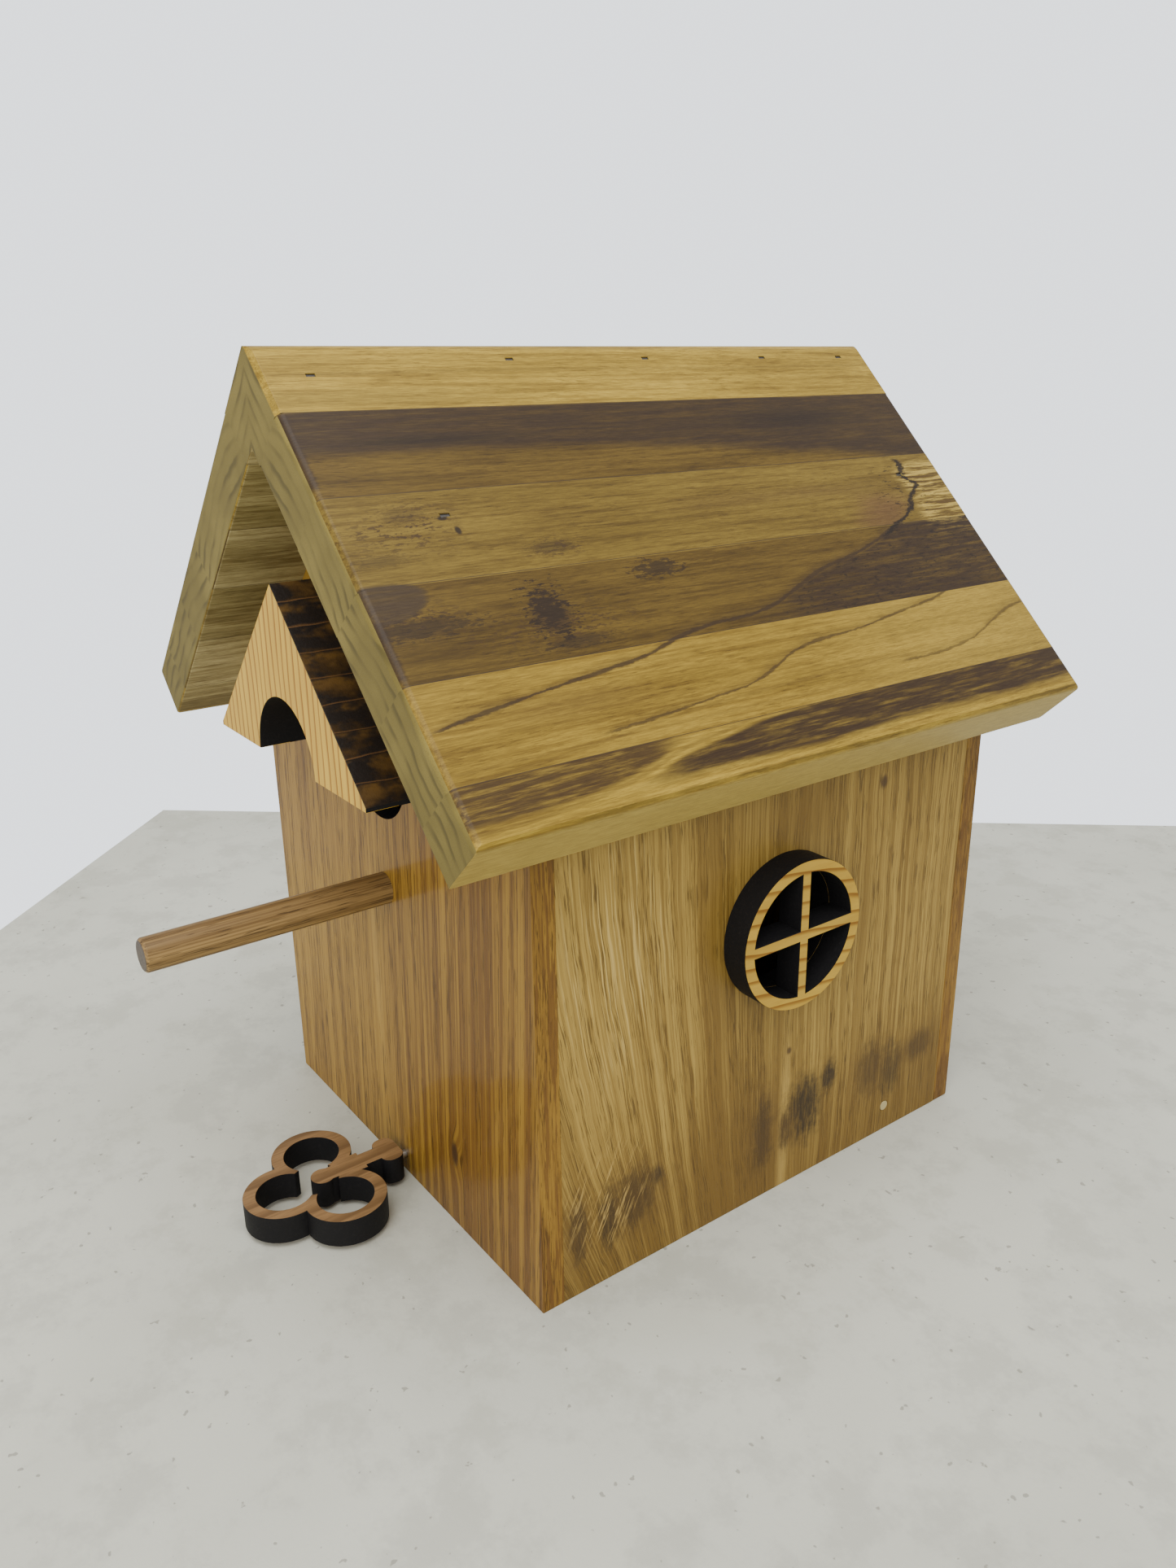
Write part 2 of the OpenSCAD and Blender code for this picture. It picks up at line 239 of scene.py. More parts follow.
def gable_oak(name, knot_x, knot_z, knot_radius):
    """The gable boards' varnished oak, its grain parting round one small knot."""
    f = Finish(name, roughness=0.45, coat=0.20, coat_roughness=0.12, gloss=0.10)
    x, y, z = f.axes(f.mm)
    knot = f.spot(f.mm, (knot_x, 0, knot_z), (knot_radius * 3, None, knot_radius * 7), edge=0.0)
    bent = f.joined(f.pushed(f.pushed(x, z, -0.05), knot, knot_radius * 1.6), y, z)
    phase = rings(f, bent, "z", (-210, -40, 0), 7.5, 9.0)
    # Painted reflection and shade: the board is lighter to the left, darker to the right, and darker again
    # towards its foot.
    painted_light_and_shade = f.plus(f.ramp(x, -35, 60, -0.20, 0.16), f.ramp(z, 0, 70, 0.12, 0.0))
    color, height = oak(f, bent, "z", phase, GABLE_LIGHT, GABLE_DARK, GABLE_PORE, 0.24, 0.50, painted_light_and_shade)
    drawn = f.noise(f.along(bent, "z", 1.5, 240), 1.0, 3.0, 0.55)
    color = f.wash(color, f.ramp(drawn, 0.53, 0.58), f.ramp(x, -10, 45, 0.20, 0.75), GABLE_DARK)
    glow = f.spot(f.mm, (-12, 0, 82), (3.5, None, 55), 0.3, 0.2, drawn)
    color = f.wash(color, glow, 0.40, GABLE_GLOW)
    color = f.mix(f.ramp(knot, 0.62, 0.95), color, GABLE_KNOT)
    return f.finish(color, height, 0.06)


def sharp(edge, degrees=25):
    return len(edge.link_faces) == 2 and edge.calc_face_angle_signed() > math.radians(degrees)


def eased(node, name, width, woods, body="house", segments=2, keep=None):
    """A merged copy of a CAD node with its corners eased by width millimetres, in place of that
    node. Corners beside a face for which keep says yes stay sharp, as where pieces are glued."""
    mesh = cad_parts[node].data.copy()
    mesh.materials.clear()
    for wood in woods:
        mesh.materials.append(wood)
    bm = bmesh.new()
    bm.from_mesh(mesh)
    bmesh.ops.remove_doubles(bm, verts=bm.verts, dist=0.002 * MM)
    bmesh.ops.dissolve_limit(bm, angle_limit=math.radians(0.4), verts=bm.verts, edges=bm.edges)
    corners = [edge for edge in bm.edges if sharp(edge)]
    if keep:
        corners = [edge for edge in corners if not any(keep(face) for face in edge.link_faces)]
    bmesh.ops.bevel(bm, geom=corners, offset=width * MM, offset_type="OFFSET", affect="EDGES",
        segments=segments, profile=0.5, material=-1, clamp_overlap=True)
    for face in bm.faces:
        face.smooth = True
        face.material_index = 0
    for edge in bm.edges:
        edge.smooth = not (len(edge.link_faces) == 2 and edge.calc_face_angle() > math.radians(40))
    bm.to_mesh(mesh)
    bm.free()
    piece = bpy.data.objects.new(name, mesh)
    bpy.context.scene.collection.objects.link(piece)
    even = piece.modifiers.new("even shading", "WEIGHTED_NORMAL")
    even.keep_sharp = True
    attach(piece, body)
    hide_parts(node)
    return piece


front_wood = gable_oak("varnished gable oak", 38, 29, 2.2)
front = eased("front_wall", "front_board", 0.5, [front_wood])
back_wood = gable_oak("varnished gable oak, back", -31, 118, 2.8)
eased("back_wall", "back_board", 0.5, [back_wood])


# ---------- Side boards ----------
# Rustic oak between the gable boards, paler and greener, with curved cathedral grain and dark
# mineral stains near the bottom. Their top edges are planed to the roof's slope.

SIDE_LIGHT = (0.440, 0.285, 0.066)
SIDE_DARK = (0.175, 0.098, 0.018)
SIDE_PORE = (0.085, 0.045, 0.010)
SIDE_KNOT = (0.07, 0.036, 0.016)
PAINTED_SHEEN = (0.66, 0.47, 0.15)
PALE_STRIPE = (0.50, 0.33, 0.085)
RAY_FLECK = (0.60, 0.40, 0.12)
STAIN = (0.030, 0.019, 0.010)
STAIN_HALO = (0.110, 0.060, 0.016)


def side_figure(f, y, z, flip, wander):
    """Side grain: lines that bend at the foot, a dark middle, painted shade low down and a painted sheen."""
    low = f.ramp(z, 0, 170, 1.0, 0.0, smooth=False)
    shift = f.times(low, low, f.ramp(y, -60, 60, 1.0, 0.0), -34.0)
    bend = f.plus(f.times(y, flip), shift)
    bend = f.pushed(bend, f.minus(wander, 0.5), 5.0)
    bent = f.joined(f.axes(f.mm)[0], bend, z)
    phase = rings(f, bent, "z", (40, 22, 0), 6.4, 6.0)
    middle = f.spot(f.mm, (0, 12 * flip, 60), (None, 34, 130), 0.0, 0.2)
    # Darker towards the foot: painted shade.
    shade = f.pushed(f.minus(f.ramp(z, 8, 70, 0.50, -0.06), 0.12), middle, 0.34)
    color, height = oak(f, bent, "z", phase, SIDE_LIGHT, SIDE_DARK, SIDE_PORE, 0.15, 0.70, shade)
    smudge = f.spot(f.mm, (0, 40 * flip, 142), (None, 26, 24), 0.9, 0.0, wander)
    color = f.wash(color, smudge, 0.75, SIDE_DARK)
    off_valley = f.math("ABSOLUTE", f.minus(bend, f.ramp(z, 0, 150, -8, 2)))
    streaks = f.noise(f.along(bent, "z", 2.2, 170), 1.0, 3.0, 0.6)
    valley = f.times(f.ramp(off_valley, 0.0, 11.0, 1.0, 0.0), f.ramp(streaks, 0.36, 0.58))
    color = f.wash(color, valley, 0.70, SIDE_DARK)
    drawn = f.noise(f.along(bent, "z", 1.3, 260), 1.0, 3.0, 0.55)
    to_back = f.ramp(f.times(y, flip), -60, 0, 0.25, 0.55)
    color = f.wash(color, f.ramp(drawn, 0.52, 0.58), to_back, SIDE_DARK)
    # A painted highlight: golden sheen streaks on the grain, high up towards the front.
    painted_sheen_streaks = f.ramp(f.noise(f.along(bent, "z", 1.0, 46.0), 1.0, 3.0, 0.55), 0.52, 0.64)
    near_front = f.spot(f.mm, (0, -38 * flip, 118), (None, 30, 66), 0.4, 0.3, wander)
    color = f.wash(color, f.times(painted_sheen_streaks, near_front), 0.60, PAINTED_SHEEN)
    stripe = f.spot(f.mm, (0, 36, 20), (None, 4.0, 60), 0.5, 0.2, wander)
    return f.wash(color, stripe, 0.60, PALE_STRIPE), height


def side_oak(name, stains, knots, flecks, flip=1):
    """Rustic side oak. stains and flecks are (y, z, half width, half height), knots (y, z,
    radius), in millimetres; flip is -1 for the mirror image."""
    f = Finish(name, roughness=0.48, coat=0.10, coat_roughness=0.28)
    y, z = f.axes(f.mm)[1:]
    wander = f.noise(f.along(f.mm, "z", 30, 60), 1.0, 3.0)
    color, height = side_figure(f, y, z, flip, wander)
    blotch = f.noise(f.mm, 0.35, 4.0, 0.65)
    grainy = f.noise(f.along(f.mm, "z", 1.2, 7.0), 1.0, 3.0)
    patch = f.pushed(f.times(blotch, 0.5), grainy, 0.5)

    def blots(places, wider, taller, ragged, edge):
        """Ragged ovals at places, each wider and taller than its stain by these factors."""
        return f.highest(*[f.spot(f.mm, (0, sy, sz), (None, w * wider, h * taller), ragged, edge, patch)
            for sy, sz, w, h in places])

    smear = f.ramp(f.noise(f.along(f.mm, "z", 1.0, 9.0), 1.0, 4.0, 0.7), 0.30, 0.55, 0.45, 1.0)
    faded = f.ramp(f.times(y, flip), 62, 84, 1.0, 0.75)
    color = f.wash(color, f.times(blots(stains, 1.5, 1.4, 1.5, 0.25), faded, smear), 0.94, STAIN)
    color = f.wash(color, blots(stains[::2], 3.2, 2.0, 1.0, 0.0), 0.58, STAIN_HALO)
    for ky, kz, radius in knots:
        eye = f.spot(f.mm, (0, ky, kz), (None, radius, radius * 1.3), 0.6, 0.3, patch)
        color = f.wash(color, eye, 0.85, SIDE_KNOT)
    tilted = f.turned(f.mm, turn=(math.radians(24), 0, 0))
    dashes = f.ramp(f.noise(f.along(tilted, "z", 0.8, 11.0), 1.0, 3.0, 0.6), 0.54, 0.64)
    for fy, fz, w, h in flecks:
        where = f.spot(f.mm, (0, fy, fz), (None, w, h), 0.8, 0.3, patch)
        color = f.wash(color, f.times(dashes, where), 0.55, RAY_FLECK)
    return f.finish(color, height, 0.07)


RIGHT_STAINS = [(-53, 24, 3, 12), (-41, 24, 4, 12), (-31, 26, 7, 11), (-22, 31, 3, 4),
    (26, 26, 4, 15), (46, 28, 9, 14), (37, 23, 3, 8), (58, 37, 4, 7), (81, 31, 6, 11),
    (92, 27, 6, 12), (108, 31, 7, 6)]
LEFT_STAINS = [(92, 40, 10, 16), (-20, 24, 6, 12)]
right_wood = side_oak("stained side oak", RIGHT_STAINS, [(37, 55, 1.6), (77, 145, 2.6)], [(-42, 32, 22, 26)])
right_side = eased("right_wall", "right_board", 0.4, [right_wood])
left_wood = side_oak("stained side oak, left", LEFT_STAINS, [(-28, 96, 3.0)], [(70, 30, 20, 22)], flip=-1)
eased("left_wall", "left_board", 0.4, [left_wood])


# ---------- Perch ----------
# A plain oak dowel, its grain running with its length, its front end lightly chamfered. It is
# glued into a drilled hole through the front board.

DOWEL_LIGHT = (0.390, 0.245, 0.088)
DOWEL_DARK = (0.150, 0.085, 0.029)
DOWEL_PORE = (0.055, 0.030, 0.012)
DOWEL_END = (0.070, 0.058, 0.048)

low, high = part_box("perch")
perch_z = (low.z + high.z) / 2 / MM
tip = low.y / MM
f = Finish("dowel oak", roughness=0.5, coat=0.15, coat_roughness=0.35)
phase = rings(f, f.mm, "y", (30, 0, perch_z + 22), 3.4, 3.0)
y, z = f.axes(f.mm)[1:]
# Painted shade: the dowel is lighter underneath and darker over its upper half.
shade = f.ramp(z, perch_z - 1, perch_z + 5, -0.15, 0.30)
color, height = oak(f, f.mm, "y", phase, DOWEL_LIGHT, DOWEL_DARK, DOWEL_PORE, 0.30, 0.70, shade)
color = f.wash(color, f.ramp(y, tip + 0.05, tip + 0.2, 1.0, 0.0), 0.85, DOWEL_END)
dowel = f.finish(color, height, 0.08)
eased("perch", "perch_dowel", 0.25, [dowel])


# ---------- Roof ----------
# Six strips of wide-ranging poplar, yellow sapwood beside purple-brown heartwood, edge-glued
# into a panel for each slope. The two panels are mitred and bradded together at the ridge.

# In millimetres: the strips' widths, the ridge's height, and the glue lines' and the eave's
# distances down the slope from the ridge.
RIDGE_STRIP = 27.8
STRIP = 29.6
ROOF_THICK = 21
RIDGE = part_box("front_wall")[1].z / MM + ROOF_THICK * math.sqrt(2)
SEAMS = [RIDGE_STRIP + STRIP * n for n in range(5)]
SLOPE = 163.3
LONGEST = 200.0

SAP = (0.405, 0.270, 0.036)
STRAW = (0.300, 0.193, 0.024)
OLIVE = (0.185, 0.121, 0.018)
UMBER = (0.122, 0.074, 0.010)
BROWN = (0.070, 0.037, 0.009)
PURPLE = (0.029, 0.0155, 0.008)
INK = (0.014, 0.008, 0.005)
KNOT = (0.022, 0.012, 0.006)
DARK_LINE = (0.035, 0.019, 0.008)
OLD_SAP = (0.600, 0.500, 0.235)
OLD_STRAW = (0.470, 0.385, 0.165)


def slope_space(f, side):
    """Millimetres on a roof panel: X down the slope, Y along the ridge, Z out of its face."""
    reach = RIDGE / math.sqrt(2)
    return f.turned(f.object, (reach, 0, -reach), (0, math.radians(-45), 0), (side / MM, 1 / MM, 1 / MM))


def steps(f, value, stops):
    """Flat steps of colour over value, from a list of where each starts and its colour."""
    node = f.node("ValToRGB", value)
    node.color_ramp.interpolation = "CONSTANT"
    elements = node.color_ramp.elements
    for n, (start, rgb) in enumerate(stops):
        element = elements[0] if n == 0 else elements[-1] if n == len(stops) - 1 else elements.new(start)
        element.position = start
        element.color = (*rgb, 1)
    return node.outputs[0]


def roof_wood(name, side, tones, marks):
    """Roof panel wood: tones are the six strips' colours from the ridge down."""
    f = Finish(name, roughness=0.48, coat=0.07, coat_roughness=0.30)
    panel = slope_space(f, side)
    s, y, d = f.axes(panel)
    starts = [start / SLOPE for start in [0.0] + SEAMS]
    # A grey for each strip stands for its number. It picks the strip's colour, and shifts the
    # figure so that each strip is a board of its own.
    greys = [(start, (n / 6 + 0.08,) * 3) for n, start in enumerate(starts)]
    strip_no = steps(f, f.math("DIVIDE", s, SLOPE), greys)
    color = steps(f, strip_no, [(n / 6, rgb) for n, rgb in enumerate(tones)])
    own = f.joined(f.pushed(s, strip_no, 800.0), f.pushed(y, strip_no, 333.0), d)
    cloud = f.noise(f.along(own, "y", 9, 90), 1.0, 3.0, 0.6)
    color = f.dimmed(color, f.ramp(cloud, 0.38, 0.64, 0.0, 0.60), (0.60, 0.57, 0.46))
    streak = f.noise(f.along(own, "y", 1.5, 48), 1.0, 5.0, 0.66)
    color = f.dimmed(color, f.ramp(streak, 0.42, 0.66, 0.0, 0.70), (0.46, 0.40, 0.30))
    speck = f.noise(f.along(own, "y", 0.6, 8.0), 1.0, 4.0, 0.72)
    where = f.noise(f.along(own, "y", 12, 40), 1.0, 2.0)
    pores = f.times(f.ramp(speck, 0.52, 0.64), f.ramp(where, 0.36, 0.62, 0.25, 1.0), 0.60)
    color = f.dimmed(color, pores, (0.34, 0.28, 0.20))
    color = marks(f, color, panel, own, f.ramp(d, -2.5, -0.6))
    eave = f.times(f.ramp(s, SLOPE - 1.4, SLOPE - 0.3), f.ramp(d, -1.8, -0.8, 1.0, 0.0))
    color = f.wash(color, eave, 0.75, (0.50, 0.37, 0.105))
    fibre = f.noise(f.along(own, "y", 0.34, 5.5), 1.0, 3.0, 0.7)
    color = f.threaded(color, 0.55, f.ramp(fibre, 0.40, 0.62), (0.56, 0.52, 0.46))
    glue = [f.ramp(f.math("ABSOLUTE", f.minus(s, start)), 0.05, 0.20, 0.80, 0.0) for start in SEAMS]
    color = f.mix(f.highest(*glue), color, (0.035, 0.022, 0.012))
    return f.finish(color, f.times(fibre, 0.5), 0.05)


class Marks:
    """The right panel's upper face while its marks are drawn, one over another. Places are in
    slope_space: s down from the ridge, y from front to back."""

    def __init__(self, f, color, panel, top):
        self.f, self.color, self.panel, self.top = f, color, panel, top
        self.s, self.y = f.axes(panel)[:2]
        self.wide = f.minus(f.noise(f.along(panel, "y", 8, 40), 1.0, 3.0), 0.5)
        self.wide_grain = f.plus(self.wide, 0.5)
        self.fine = f.minus(f.noise(f.turned(panel, scale=(0.55, 0.25, 0.5)), 1.0, 4.0, 0.7), 0.5)
        self.streaky = f.noise(f.along(panel, "y", 1.6, 26), 1.0, 5.0, 0.68)
        self.tufts = f.noise(f.along(panel, "y", 1.1, 4.2), 1.0, 4.0, 0.72)
        self.swell = f.noise(f.along(panel, "y", 30, 24), 1.0, 2.0, 0.5)

    def shade(self, mask, amount, tint):
        self.color = self.f.mix(self.f.times(mask, amount, self.top), self.color, tint)

    def strip(self, n):
        """1 on the nth strip from the ridge, 0 elsewhere."""
        upper = SEAMS[n - 2]
        if n == 6:
            return self.f.ramp(self.s, upper - 0.1, upper + 0.1)
        return self.f.between(self.s, upper, SEAMS[n - 1])

    def oval(self, s, y, half_s, half_y, ragged, edge, noise):
        return self.f.spot(self.panel, (s, y, 0), (half_s, half_y, None), ragged, edge, noise)

    def course(self, points, run=None):
        """A smooth line through (y, s) points, as a value s that depends on y. Across the grain,
        run is s and the points are (s, y). The curve holds values as shares of LONGEST."""
        first, last = points[0][0], points[-1][0]
        share = self.f.ramp(self.y if run is None else run, first, last, smooth=False)
        node = self.f.node("FloatCurve", 1.0, share)
        curve = node.mapping.curves[0]
        for n, (at, value) in enumerate(points):
            place = ((at - first) / (last - first), value / LONGEST)
            if n in (0, len(points) - 1):
                curve.points[0 if n == 0 else -1].location = place
            else:
                curve.points.new(*place)
        node.mapping.update()
        return self.f.times(node.outputs[0], LONGEST)

    def line(self, points, width, swells=False):
        """A growth line along a course, width millimetres wide and slightly shaky. One that
        swells is thicker in places, with a soft shadow on its upper side."""
        f = self.f
        off = f.pushed(f.minus(self.s, self.course(points)), self.fine, 1.5)
        if swells:
            off = f.math("DIVIDE", off, f.ramp(self.swell, 0.36, 0.66, 0.65, 1.5))
        mask = f.ramp(f.math("ABSOLUTE", off), width * 0.30, width, 1.0, 0.0)
        if swells:
            shadow = f.times(f.ramp(off, -3.2, -0.2, 0.0, 0.42), f.ramp(off, 0.0, 0.5, 1.0, 0.0))
            mask = f.highest(mask, shadow)
        first, last = points[0][0], points[-1][0]
        begin = f.ramp(self.y, first - 1, first + 6)
        return f.times(mask, begin, f.ramp(self.y, last - 4, last + 1, 1.0, 0.0))


LONG_LINE = [(-98, 131), (-60, 125), (-40, 122.5), (-20, 119.5), (-12, 117), (0, 114.5), (30, 111.5),
    (45, 106.5), (60, 101), (80, 96.5), (95, 92), (105, 88), (118, 82), (127, 70)]


def upper_strips(m):
    """The ridge strip's thin line and darker band, and the second strip's heartwood."""
    f = m.f
    m.shade(m.line([(-98, 14.5), (0, 13.2), (60, 13.6), (148, 13)], 1.0), 0.28, BROWN)
    band = f.between(f.pushed(m.s, m.wide, 2.0), 20, 26, 1.5)
    m.shade(f.times(band, f.ramp(m.y, -70, 10, 1.0, 0.0)), 0.45, OLIVE)
    second = m.strip(2)
    boundary = m.course([(-98, 43), (0, 45), (45, 48), (90, 53), (148, 59)])
    below = f.minus(f.pushed(m.s, m.wide, 5.0), boundary)
    heart = f.times(f.ramp(below, -2.5, 2.5, 1.0, 0.0), second)
    m.shade(heart, f.ramp(m.streaky, 0.32, 0.60, 0.60, 0.90), PURPLE)
    m.shade(f.times(m.oval(38, 88, 7, 46, 1.1, 0.0, m.streaky), second), 0.65, INK)
    m.shade(f.times(m.oval(39.5, -55, 3, 44, 1.2, 0.0, m.streaky), second), 0.60, INK)


def middle_strips(m):
    """Rose brown before the crack, pale streaks behind it, heartwood below the long line."""
    f = m.f
    third, fourth = m.strip(3), m.strip(4)
    from_line = f.minus(m.s, m.course(LONG_LINE))
    rose = f.times(m.oval(83, 108, 13, 22, 1.4, 0.0, m.wide_grain), third)
    m.shade(f.times(rose, f.ramp(from_line, -1.0, 1.0, 1.0, 0.0)), 0.75, (0.110, 0.055, 0.020))
    m.shade(f.times(m.oval(70, 70, 5, 90, 1.0, 0.0, m.wide_grain), third), 0.55, (0.130, 0.080, 0.016))
    behind = f.times(f.ramp(f.pushed(m.y, m.wide, 12.0), 121, 129), f.ramp(m.s, 57.4, 64),
        f.ramp(m.s, 84, 96, 1.0, 0.0))
    m.shade(behind, f.ramp(m.streaky, 0.42, 0.56, 0.80, 0.0), (0.50, 0.35, 0.075))
    m.shade(behind, f.ramp(m.streaky, 0.52, 0.60, 0.0, 0.75), BROWN)
    deep = f.times(fourth, f.ramp(from_line, 0.0, 1.5), f.ramp(f.pushed(m.y, m.wide, 40.0), 0, 62))
    m.shade(deep, f.ramp(m.streaky, 0.36, 0.58, 0.42, 0.92), PURPLE)
    m.shade(f.times(deep, f.ramp(m.tufts, 0.54, 0.64)), 0.75, INK)


def knots_and_flecks(m):
    """Flecks near the front, ragged knots, two nail-like slots and a bite at the front edge."""
    f = m.f
    flecks = f.highest(*[m.oval(s, y, half_s, half_y, 1.0, 0.0, m.wide_grain) for s, y, half_s, half_y in
        ((70, -76, 15, 30), (81, -34, 7, 18), (98, -88, 11, 34), (106, -44, 12, 50))])
    m.shade(f.times(flecks, f.ramp(m.tufts, 0.51, 0.58)), 0.92, (0.042, 0.022, 0.008))
    for s, y, half_s, half_y, amount in ((101, -46, 8.5, 7, 0.95), (92, -3, 3.4, 9, 0.75),
            (101, -88, 3.0, 20, 0.70), (112, -42, 2.2, 11, 0.6), (80.5, -35, 2.2, 8, 0.45),
            (65, -76, 2.6, 6, 0.35), (79, -88, 2.0, 9, 0.35)):
        m.shade(m.oval(s, y, half_s * 1.1, half_y * 1.1, 4.5, 0.55, m.tufts), amount, KNOT)
    for s, y, half_s, half_y in ((67, -64.5, 1.0, 2.2), (71.5, -61.5, 1.9, 1.3)):
        m.shade(m.oval(s, y, half_s, half_y, 0.9, 0.45, m.tufts), 0.9, INK)
    bite = m.oval(91, -99, 7.5, 21, 0.5, 0.88, m.wide_grain)
    in_strip = f.ramp(m.s, 85.5, 87)
    m.shade(f.times(bite, in_strip), f.ramp(m.streaky, 0.35, 0.6, 0.70, 0.95), (0.046, 0.028, 0.013))
    core = m.oval(91, -99, 7.5, 21, 0.5, 0.80, m.wide_grain)
    rim = f.times(bite, f.ramp(core, 0.0, 0.6, 1.0, 0.0), f.ramp(m.tufts, 0.42, 0.55))
    m.shade(rim, 0.70, INK)


def lower_strips(m):
    """The fifth strip, lighter to the back, and the eave strip with a pale arc in heartwood."""
    f = m.f
    fifth, sixth = m.strip(5), m.strip(6)
    m.shade(f.times(fifth, f.ramp(m.y, 10, 110)), 0.30, (0.47, 0.325, 0.055))
    m.shade(f.times(fifth, m.oval(131, -50, 8, 38, 1.4, 0.0, m.wide_grain)), 0.55, (0.135, 0.080, 0.014))
    arc = m.course([(-98, 160.5), (-60, 158.5), (-40, 155), (-28, 151.5), (-10, 149), (5, 147), (148, 143)])
    past = f.pushed(f.minus(m.s, arc), m.wide, 1.6)
    above_sap = f.ramp(f.pushed(m.s, m.wide, 5.0), 156.5, 160.5, 1.0, 0.0)
    lower = f.times(sixth, f.ramp(past, 0.0, 1.6), f.ramp(m.y, -55, -22), above_sap)
    m.shade(lower, f.ramp(m.streaky, 0.30, 0.56, 0.62, 0.97), (0.030, 0.015, 0.007))
    upper = f.times(sixth, f.ramp(past, -3.0, -0.8, 1.0, 0.0), f.ramp(m.y, -38, -18, 1.0, 0.0), above_sap)
    m.shade(upper, f.ramp(m.streaky, 0.34, 0.56, 0.50, 0.95), (0.048, 0.025, 0.008))
    rim = f.ramp(f.math("ABSOLUTE", f.plus(past, 0.9)), 0.2, 0.9, 1.0, 0.0)
    m.shade(f.times(sixth, rim), 0.35, BROWN)


def wandering_lines(m):
    """The long dark lines, the crack across the third strip, and tool marks at the front."""
    f = m.f
    m.shade(m.line(LONG_LINE[:-2], 0.95, swells=True), 0.88, DARK_LINE)
    crack = m.course([(57, 126), (62, 128), (67, 126), (71, 130), (76, 124), (82, 119), (88, 106),
        (93, 95)], m.s)
    off = f.math("ABSOLUTE", f.pushed(f.minus(m.y, crack), m.fine, 9.0))
    off = f.math("DIVIDE", off, f.ramp(m.swell, 0.40, 0.60, 0.6, 2.0))
    ends = f.times(f.ramp(m.s, 58, 60), f.ramp(m.s, 90, 93, 1.0, 0.0))
    m.shade(f.times(f.ramp(off, 0.3, 1.3, 1.0, 0.0), ends), 0.95, INK)
    splinters = f.times(m.oval(76, 122, 15, 15, 0.8, 0.2, m.wide), f.ramp(m.tufts, 0.56, 0.64))
    m.shade(splinters, 0.8, INK)
    m.shade(m.line([(-50, 141), (-5, 137), (10, 135), (22, 131), (30, 128), (40, 126), (60, 124.5),
        (85, 121), (105, 118), (118, 114), (130, 110), (148, 108)], 0.75, swells=True), 0.75, DARK_LINE)
    m.shade(m.line([(70, 139), (110, 136), (118, 133.5), (128, 130), (138, 127), (148, 126)], 0.7,
        swells=True), 0.65, DARK_LINE)
    m.shade(m.line([(-98, 146), (-60, 144), (-20, 140), (20, 138), (80, 137)], 0.8), 0.25, BROWN)
    m.shade(m.line([(-98, 143), (40, 142.5), (148, 143.5)], 0.7), 0.22, BROWN)
    lip = m.line([(-70, 162.3), (0, 162), (60, 162.4), (148, 162)], 0.8)
    m.shade(f.times(lip, f.ramp(m.swell, 0.42, 0.58)), 0.40, DARK_LINE)
    at_front = f.ramp(f.pushed(m.y, m.fine, 3.0), -96.0, -94.4, 1.0, 0.0)
    for low, high in ((29, 54), (97, 115)):
        m.shade(f.times(at_front, f.between(m.s, low, high, 1)), 0.75, DARK_LINE)


def right_marks(f, color, panel, own, top):
    """What the right panel shows: heartwood bands, knots, flecks and three wandering lines."""
    m = Marks(f, color, panel, top)
    for draw in (upper_strips, middle_strips, knots_and_flecks, lower_strips, wandering_lines):
        draw(m)
    return m.color


def left_marks(f, color, panel, own, top):
    """The left panel's heartwood: broad soft bands and three knots, on both of its faces."""
    streaky = f.noise(f.along(own, "y", 2.0, 30), 1.0, 4.0, 0.65)
    wide = f.noise(f.along(own, "y", 12, 90), 1.0, 3.0)
    color = f.wash(color, f.ramp(f.pushed(wide, streaky, 0.5), 0.76, 0.92), 0.6, UMBER)
    for s, y, half_s, half_y in ((70, 60, 5, 8), (104, -50, 4, 7), (38, 105, 3, 5)):
        color = f.mix(f.spot(panel, (s, y, 0), (half_s, half_y, None), 1.0, 0.4, streaky), color, PURPLE)
    return color


def roof_end(name, side):
    """End grain of the strips: greenish, with the curved rings of each strip's own tree."""
    f = Finish(name, roughness=0.60)
    panel = slope_space(f, side)
    s, _, d = f.axes(panel)
    no = f.math("FLOOR", f.math("DIVIDE", f.plus(s, STRIP - RIDGE_STRIP), STRIP))
    pith = f.plus(f.math("MULTIPLY_ADD", no, STRIP, 14.0), f.times(f.math("SINE", f.times(no, 2.4)), 22.0))
    across = f.minus(s, pith)
    away = f.plus(d, f.math("MULTIPLY_ADD", f.math("COSINE", no), 20.0, 130.0))
    radius = f.math("SQRT", f.plus(f.times(across, across), f.times(away, away)))
    wobble = f.times(f.noise(panel, 0.04, 3.0), 9.0)
    phase = f.math("FRACT", f.math("DIVIDE", f.plus(radius, wobble), 5.0))
    patchy = f.ramp(f.noise(panel, 0.06, 2.0), 0.40, 0.62, 0.20, 0.80)
    ring = f.times(f.ramp(phase, 0.45, 0.82), f.ramp(phase, 0.86, 1.0, 1.0, 0.0), patchy)
    cloud = f.noise(panel, 0.035, 3.0)
    grain = f.noise(panel, 2.5, 3.0, 0.7)
    color = f.mix(f.ramp(cloud, 0.35, 0.65), (0.232, 0.178, 0.045), (0.160, 0.122, 0.031))
    color = f.mix(ring, color, (0.080, 0.062, 0.019))
    color = f.mix(f.ramp(grain, 0.45, 0.75, 0.0, 0.5), color, (0.110, 0.080, 0.022))
    return f.finish(color, grain, 0.05)


def glued(face):
    """The mitre at the ridge and the edges that the strips share."""
    if abs(face.normal.x) > 0.99:
        return True
    middle = face.calc_center_median()
    down = Vector((math.copysign(1, middle.x), 0, -1)).normalized()
    at_eave = (abs(middle.x) / MM - ROOF_THICK / 3) * math.sqrt(2) > SEAMS[-1] + 2
    return abs(face.normal.dot(down)) > 0.99 and not (at_eave and face.normal.dot(down) > 0)


